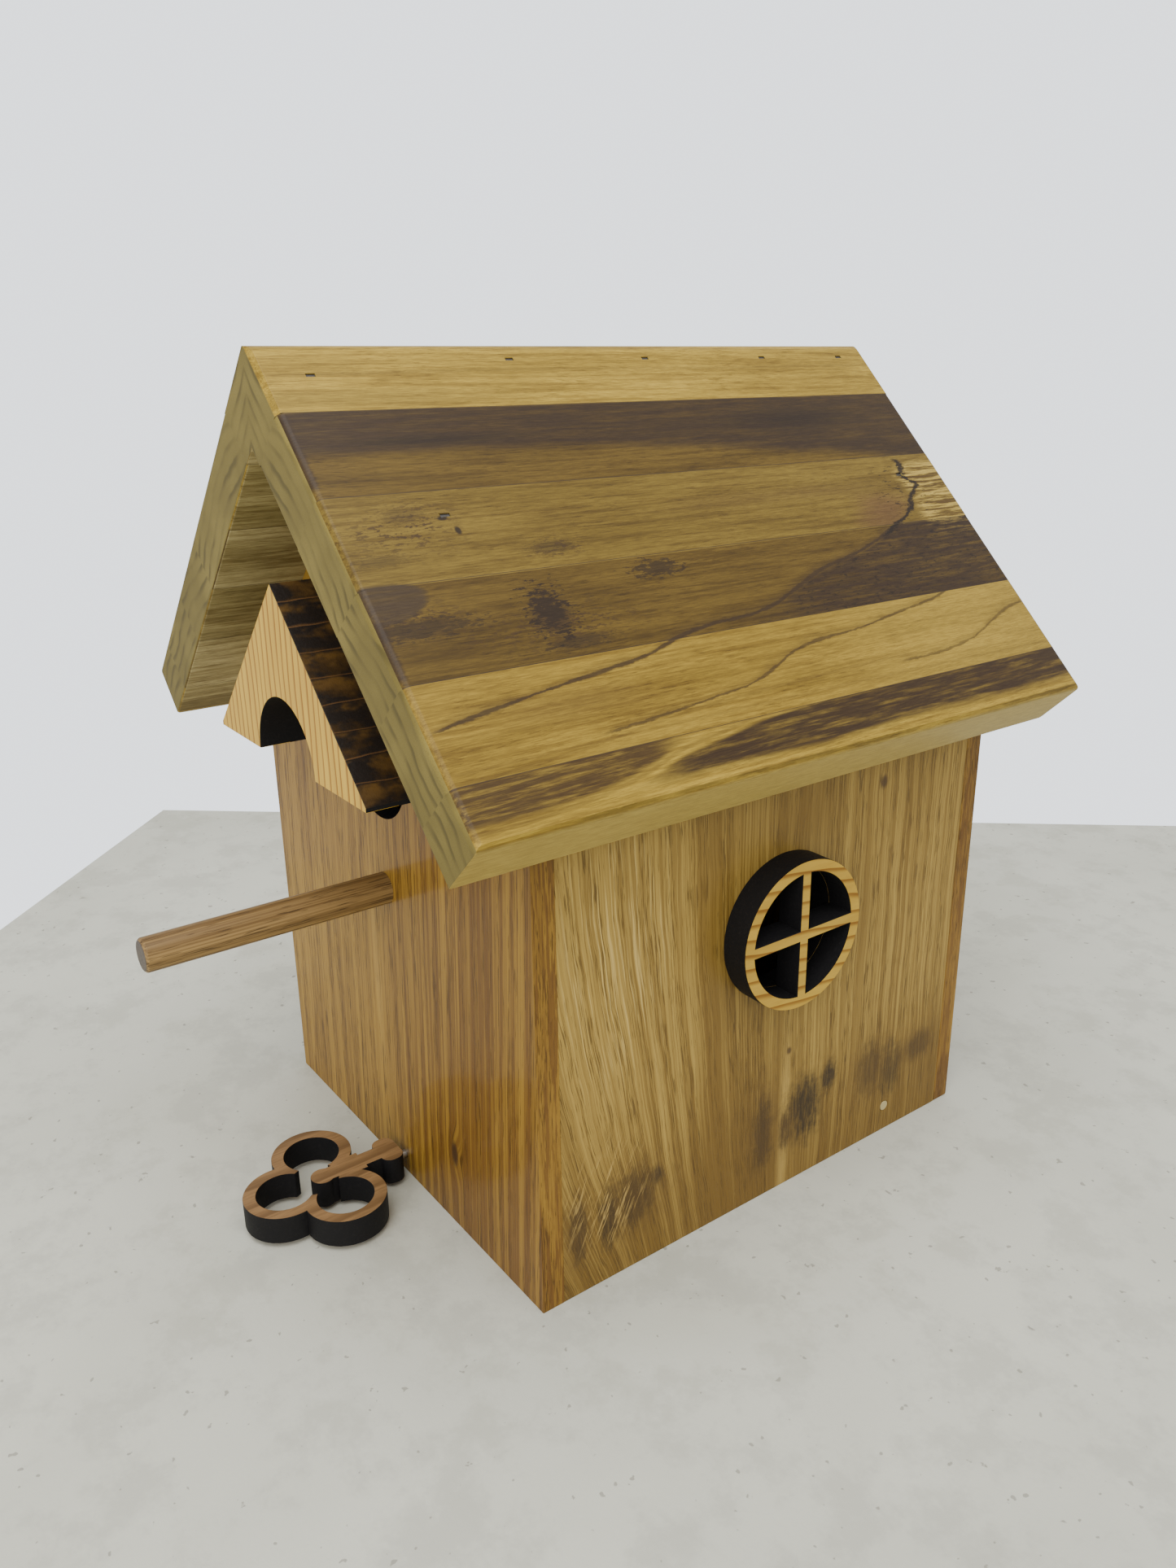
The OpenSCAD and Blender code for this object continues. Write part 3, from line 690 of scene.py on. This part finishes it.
def strip_side(face):
    """0 for a strip's upper face, 1 for its end grain, 2 for its underside."""
    if abs(face.normal.y) > 0.72:
        return 1
    inward = face.center.x * face.normal.x < 0
    return 2 if inward and face.normal.z < -0.5 and abs(face.normal.x) > 0.5 else 0


right_top = roof_wood("striped poplar, right", 1, [SAP, UMBER, OLIVE, UMBER, STRAW, SAP], right_marks)
left_top = roof_wood("striped poplar, left", -1, [STRAW, SAP, UMBER, STRAW, OLIVE, SAP], left_marks)
left_under = roof_wood("poplar underside, left", -1, [OLD_SAP, OLD_STRAW] * 3, left_marks)
panel_woods = {
    "right": [right_top, roof_end("poplar end grain, right", 1), right_top],
    "left": [left_top, roof_end("poplar end grain, left", -1), left_under],
}
for side, woods in panel_woods.items():
    for n in range(1, 7):
        slot = "roof_heartwood" if n in (2, 6) else "roof_sapwood"
        strip = eased(f"roof_{side}_strip_{n}", f"{side}_roof_strip_{n}", 0.9, woods,
            segments=3, keep=glued)
        for face in strip.data.polygons:
            face.material_index = strip_side(face)


# ---------- Brads ----------
# Wire brads from a nail gun, driven just below the surface. Their flat heads lie with the
# grain and have gone dark in the oak and the poplar's tannin.

f = Finish("tarnished brad wire", roughness=0.55, metallic=0.6)
tarnish = f.noise(f.mm, 1.4, 3.0, 0.7)
brad_wire = f.finish(f.mix(tarnish, (0.035, 0.034, 0.036), (0.12, 0.11, 0.10)), tarnish, 0.04)
for node in ("ridge_brads", "gable_brads"):
    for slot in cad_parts[node].material_slots:
        slot.material = brad_wire


# ---------- Canopy ----------
# Three layers of pine glued face to face over the entry hole. The front face is sanded clean,
# the slopes are scorched in bands, and the arch is burnt black. The entry hole's edge behind it
# is painted black as shade.

PINE_PALE = (0.730, 0.455, 0.058)
PINE_LINE = (0.340, 0.150, 0.012)
CHAR = (0.0080, 0.0074, 0.0078)
CHAR_PALE = (0.016, 0.014, 0.014)
SCORCH = (0.050, 0.026, 0.007)
SCORCH_RING = (0.120, 0.062, 0.014)
SCORCH_PATCH = (0.095, 0.050, 0.013)
SCORCH_EDGE = (0.23, 0.11, 0.035)
SCORCH_GAP = 6.4


def pine_face(name, axis, gap, lean=0.0, grain="z", dull=1.0):
    """Clean pine with growth lines every gap millimetres, counted along axis."""
    f = Finish(name, roughness=0.52, coat=0.10, coat_roughness=0.4)
    place = f.axes(f.mm)
    across = f.pushed(place["xyz".index(axis)], place["xyz".index(grain)], lean)
    drift = f.noise(f.along(f.mm, grain, 14, 60), 1.0, 2.0)
    across = f.pushed(across, drift, gap * 1.2)
    phase = f.math("FRACT", f.math("DIVIDE", across, gap))
    late = f.times(f.ramp(phase, 0.55, 0.90), f.ramp(phase, 0.92, 0.98, 1.0, 0.0))
    fibre = f.noise(f.along(f.mm, grain, 0.35, 9.0), 1.0, 3.0, 0.6)
    early = f.ramp(f.noise(f.along(f.mm, grain, 5, 30), 1.0, 3.0), 0.38, 0.66, 0.0, 0.20)
    late = f.math("MINIMUM", f.pushed(early, late, 0.90), 1.0)
    color = f.threaded(f.mix(late, PINE_PALE, PINE_LINE), 0.35, fibre, (0.55, 0.50, 0.45))
    color = f.mix(1.0, color, (dull, dull, dull), "MULTIPLY")
    return f.finish(color, f.pushed(f.times(fibre, 0.3), late, 0.6), 0.05)


def burnt_wood(name):
    """Wood burnt black all over, dull and finely crackled."""
    f = Finish(name, roughness=0.62)
    crackle = f.noise(f.mm, 0.9, 5.0, 0.7)
    return f.finish(f.mix(f.ramp(crackle, 0.50, 0.8), CHAR, CHAR_PALE), crackle, 0.12)


def scorched_slope(name):
    """Pine scorched and brushed: black, with brown left along each growth ring."""
    f = Finish(name, roughness=0.46, coat=0.2, coat_roughness=0.3)
    crackle = f.noise(f.mm, 0.9, 5.0, 0.7)
    color = f.mix(f.ramp(crackle, 0.50, 0.8), CHAR, CHAR_PALE)
    across = f.pushed(f.axes(f.mm)[0], f.noise(f.along(f.mm, "y", 6, 26), 1.0, 2.0), 3.0)
    phase = f.math("FRACT", f.math("DIVIDE", across, SCORCH_GAP))
    ridge = f.times(f.ramp(phase, 0.0, 0.12), f.ramp(phase, 0.16, 0.62, 1.0, 0.0))
    patchy = f.noise(f.along(f.mm, "y", 7, 12), 1.0, 3.0, 0.6)
    color = f.mix(f.ramp(patchy, 0.46, 0.62, 0.15, 0.75), color, SCORCH)
    color = f.wash(color, f.times(ridge, f.ramp(patchy, 0.40, 0.68)), 0.9, SCORCH_RING)
    color = f.wash(color, f.ramp(patchy, 0.58, 0.74), 0.7, SCORCH_PATCH)
    color = f.wash(color, f.ramp(phase, 0.94, 1.0), 0.5, SCORCH_EDGE)
    return f.finish(color, f.pushed(crackle, ridge, 0.8), 0.18)


def canopy_side(face, foot_top):
    """0 for a clean face or foot, 1 for a slope, 2 for what the arch burnt."""
    if abs(face.normal.y) > 0.9 or (face.normal.z < -0.5 and face.center.z < foot_top):
        return 0
    return 1 if face.normal.z > 0.3 else 2


canopy_face = pine_face("canopy pine", "x", 3.9)
canopy_slope = scorched_slope("scorched canopy slope")
burnt = burnt_wood("burnt wood")
for node in ("canopy_front", "canopy_middle", "canopy_back"):
    layer = eased(node, node + "_layer", 0.15, [canopy_face, canopy_slope, burnt],
        segments=1, keep=lambda face: node != "canopy_front" or face.normal.y > 0.9)
    foot_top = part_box(node)[0].z + 3 * MM
    for face in layer.data.polygons:
        face.material_index = canopy_side(face, foot_top)


def paint_bore_shade(board, axis, centre, radius, flat):
    """Blackens the edge of a round hole along axis through a board with the burnt wood, as painted
    shade: every face within radius of its middle line, apart from those that face along the hole by flat or
    more."""
    board.data.materials.append(burnt)
    along = Vector([float(name == axis) for name in "xyz"])
    for face in board.data.polygons:
        offset = face.center - centre
        offset -= along * offset.dot(along)
        if offset.length < radius and abs(face.normal.dot(along)) < flat:
            face.material_index = 1


# The entry hole's bore and rim are painted black: painted shade under the canopy.
ENTRY_Z = 158 * MM
ENTRY_RADIUS = 19 * MM
EDGE_REACH = 2 * MM
paint_bore_shade(front, "y", Vector((0, 0, ENTRY_Z)), ENTRY_RADIUS + EDGE_REACH, 0.9)


# ---------- Round window ----------
# A ring with a cross, cut in one piece from pine by burning, so that its sides are black and
# its face pale. It is glued over a round opening in the right side board, whose edge is painted
# black as shade.

window_face = pine_face("window pine", "z", 5.0, lean=0.16, grain="y", dull=0.72)
window = eased("window_frame", "round_window", 0.2, [window_face, burnt])
for face in window.data.polygons:
    face.material_index = 0 if abs(face.normal.x) > 0.9 else 1
low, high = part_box("window_frame")
# The opening's edge is painted black: painted shade from the dark inside.
paint_bore_shade(right_side, "x", (low + high) / 2, (high.z - low.z) / 2, 0.8)


# ---------- Clean-out floor ----------
# An oak board that hangs on two round brass pins near its back edge. Its front edge has a
# blind hole for the key's pin.

FLOOR_LIGHT = (0.40, 0.26, 0.075)
FLOOR_DARK = (0.20, 0.115, 0.030)
FLOOR_PORE = (0.09, 0.048, 0.014)

f = Finish("floor oak", roughness=0.6)
phase = rings(f, f.mm, "x", (0, 60, -90), 5.0, 6.0)
color, height = oak(f, f.mm, "x", phase, FLOOR_LIGHT, FLOOR_DARK, FLOOR_PORE)
floor_wood = f.finish(color, height, 0.08)
eased("floor_board", "clean_out_floor", 0.4, [floor_wood], body="floor")

f = Finish("brushed brass", roughness=0.34, metallic=1.0)
brushed = f.noise(f.turned(f.mm, scale=(0.3, 3.0, 3.0)), 1.0, 3.0, 0.6)
brass = f.finish(f.mix(brushed, (0.62, 0.50, 0.24), (0.80, 0.71, 0.45)), brushed, 0.02)
for node in ("floor_pin_right", "floor_pin_left"):
    eased(node, node + "_brass", 0.25, [brass], body="floor")


# ---------- Key ----------
# A flat trefoil key burnt out of pine, pale on top and black on its cut sides, on a short
# steel pin that passes through the front board into the floor.

KEY_PALE = (0.290, 0.165, 0.066)
KEY_LINE = (0.115, 0.060, 0.022)
KEY_STREAK = (0.120, 0.064, 0.024)

f = Finish("key pine", roughness=0.55, coat=0.08, coat_roughness=0.4)
phase = rings(f, f.mm, "y", (-60, 0, -130), 4.2, 5.0, wave=60)
late = f.times(f.ramp(phase, 0.3, 0.85), f.ramp(phase, 0.9, 1.0, 1.0, 0.0))
fibre = f.noise(f.along(f.mm, "y", 0.5, 8.0), 1.0, 3.0, 0.6)
color = f.mix(f.times(late, 0.7), KEY_PALE, KEY_LINE)
color = f.threaded(color, 0.5, fibre, (0.5, 0.47, 0.42))
streak = f.noise(f.along(f.mm, "y", 1.2, 18), 1.0, 4.0, 0.65)
color = f.mix(f.ramp(streak, 0.44, 0.62, 0.0, 0.55), color, KEY_STREAK)
key_face = f.finish(color, fibre, 0.05)
key = eased("key_handle", "trefoil_key", 0.25, [key_face, burnt], body="key")
for face in key.data.polygons:
    face.material_index = 0 if abs(face.normal.z) > 0.9 else 1

f = Finish("bright steel pin", roughness=0.30, metallic=1.0)
drawn = f.noise(f.turned(f.mm, scale=(3.0, 0.25, 3.0)), 1.0, 3.0, 0.6)
steel = f.finish(f.mix(drawn, (0.42, 0.42, 0.42), (0.66, 0.65, 0.63)), drawn, 0.02)
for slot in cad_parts["key_pin"].material_slots:
    slot.material = steel


# ---------- Table and light ----------
# A pale painted table that ends behind the house, an even sky of white light, and two large
# soft lamps overhead. The table's top lies a hair under the boards' feet.

TABLE_CORNERS = ((-436, -16), (1840, 2650), (4000, 0), (2230, -2640))
TABLE_DROP = 0.02

f = Finish("pale table paint", roughness=0.55)
cloud = f.noise(f.mm, 0.006, 4.0, 0.6)
color = f.mix(f.ramp(cloud, 0.35, 0.7), (0.575, 0.570, 0.480), (0.510, 0.505, 0.420))
scuff = f.noise(f.mm, 0.028, 5.0, 0.72)
color = f.mix(f.ramp(scuff, 0.46, 0.62, 0.0, 0.34), color, (0.345, 0.335, 0.275))
small_chips = f.ramp(f.noise(f.mm, 0.24, 2.0, 0.5), 0.695, 0.725)
large_chips = f.ramp(f.noise(f.mm, 0.10, 4.0, 0.7), 0.675, 0.705)
color = f.wash(color, f.highest(small_chips, large_chips), 0.6, (0.20, 0.185, 0.15))
table_paint = f.finish(color, f.noise(f.mm, 0.4, 4.0, 0.6), 0.10)
bm = bmesh.new()
bm.faces.new([bm.verts.new((x * MM, y * MM, -TABLE_DROP * MM)) for x, y in TABLE_CORNERS])
bmesh.ops.recalc_face_normals(bm, faces=bm.faces)
mesh = bpy.data.meshes.new("table")
bm.to_mesh(mesh)
bm.free()
mesh.materials.append(table_paint)
table = bpy.data.objects.new("table", mesh)
bpy.context.scene.collection.objects.link(table)

ROOM_LIGHT = 1.0
ROOM_SEEN = 2.15

world = bpy.data.worlds.new("white room")
world.use_nodes = True
nodes, links = world.node_tree.nodes, world.node_tree.links
light = nodes["Background"]
light.inputs["Color"].default_value = (0.93, 0.95, 0.97, 1)
light.inputs["Strength"].default_value = ROOM_LIGHT
backdrop = nodes.new("ShaderNodeBackground")
backdrop.inputs["Color"].default_value = (0.86, 0.90, 0.95, 1)
backdrop.inputs["Strength"].default_value = ROOM_SEEN
choice = nodes.new("ShaderNodeMixShader")
links.new(nodes.new("ShaderNodeLightPath").outputs["Is Camera Ray"], choice.inputs[0])
links.new(light.outputs[0], choice.inputs[1])
links.new(backdrop.outputs[0], choice.inputs[2])
links.new(choice.outputs[0], nodes["World Output"].inputs["Surface"])
bpy.context.scene.world = world


def lamp(name, place, aim, size, power):
    """A square soft lamp at place that shines at aim; size in metres, power in watts."""
    light = bpy.data.lights.new(name, "AREA")
    light.size = size
    light.energy = power
    holder = bpy.data.objects.new(name, light)
    holder.location = place
    holder.rotation_euler = (Vector(aim) - Vector(place)).to_track_quat("-Z", "Y").to_euler()
    bpy.context.scene.collection.objects.link(holder)


lamp("overhead", (0.35, -0.2, 1.5), (0, 0, 0.1), 1.2, 22)
lamp("window light", (0.9, -1.2, 0.9), (0, 0, 0.12), 1.0, 12)
